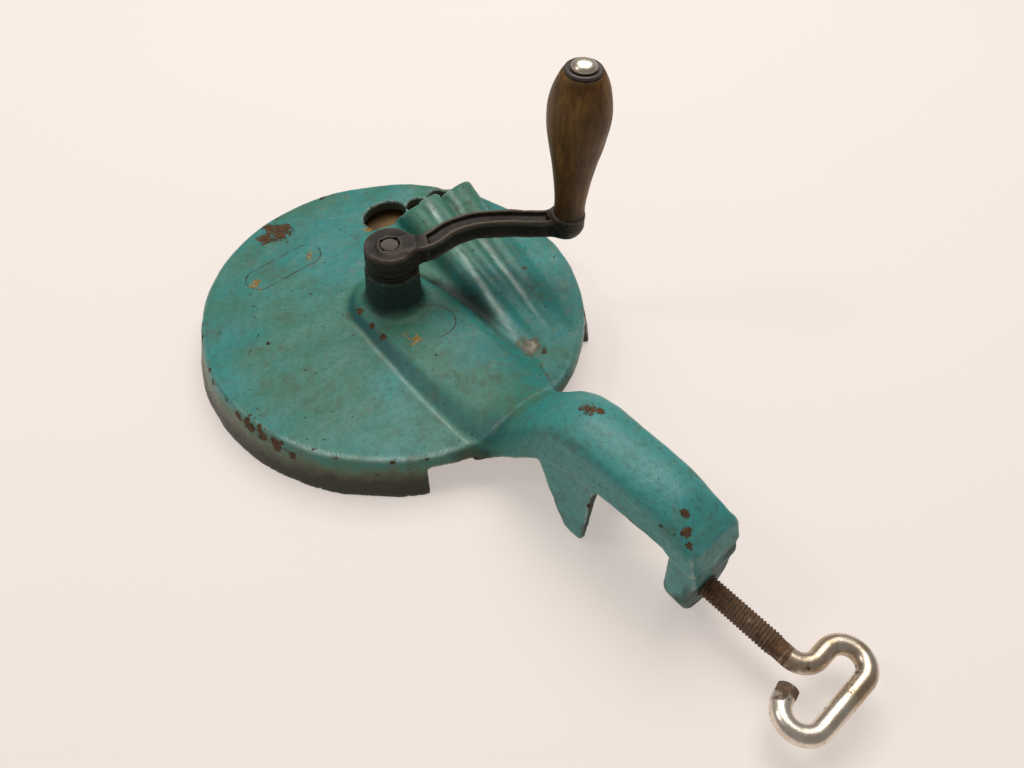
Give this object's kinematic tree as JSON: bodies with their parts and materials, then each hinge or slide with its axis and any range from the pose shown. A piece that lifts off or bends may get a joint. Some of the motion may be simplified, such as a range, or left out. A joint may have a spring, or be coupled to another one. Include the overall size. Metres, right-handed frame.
{
  "type": "bean slicer",
  "caption": "Hand-cranked kitchen bean slicer with a drum housing, feed flutes, knife disc, crank with wooden grip and a table clamp, lying on its drum rim.",
  "frame": {"origin": "centre of the drum's open rim, on the crank axis, in the plane that the rim rests on", "axes": "+Z along the crank axis from the open rim to the crank; the clamp arm points along -Y"},
  "size_m": [0.1932, 0.3614, 0.1412],
  "materials": {
    "enamelled_iron": "turquoise enamel on cast iron, worn and chipped",
    "machined_steel": "dull oiled steel",
    "bare_iron": "bare cast iron",
    "blade_steel": "ground steel",
    "black_iron": "black patinated iron",
    "varnished_wood": "brown varnished beech, darkened",
    "worn_nickel": "worn nickel plate with rust",
    "dark_steel": "dark tarnished steel"
  },
  "bodies": {
    "housing": {"housing": "enamelled_iron"},
    "crank": {"drive_shaft": "machined_steel", "crank_arm": "black_iron", "handle_spindle": "worn_nickel", "handle_washer": "dark_steel", "thrust_washer": "machined_steel", "knife_disc": "bare_iron", "knife_1": "blade_steel", "knife_2": "blade_steel", "knife_3": "blade_steel", "knife_screws": "machined_steel", "disc_washer": "machined_steel", "disc_nut": "machined_steel"},
    "grip": {"handle_grip": "varnished_wood"},
    "pad": {"clamp_pad": "dark_steel"},
    "screw": {"clamp_screw": "worn_nickel"}
  },
  "joints": [
    {"name": "crank_turn", "type": "hinge", "parent": "housing", "child": "crank", "pos_m": [0, 0, 0], "axis": [0, 0, 1], "continuous": true},
    {"name": "grip_spin", "type": "hinge", "parent": "crank", "child": "grip", "pos_m": [0.07618, -0.03882, 0], "axis": [0, 0, 1], "continuous": true},
    {"name": "screw_travel", "type": "slide", "parent": "housing", "child": "pad", "axis": [0, 1, 0], "range_m": [0, 0.03]},
    {"name": "screw_turn", "type": "hinge", "parent": "pad", "child": "screw", "pos_m": [0, -0.183, 0.017], "axis": [0, 1, 0], "range_deg": [0, 7210]}
  ],
  "couplings": [
    {"joint": "screw_turn", "follows": "screw_travel", "rad_per_m": 4188.8}
  ]
}
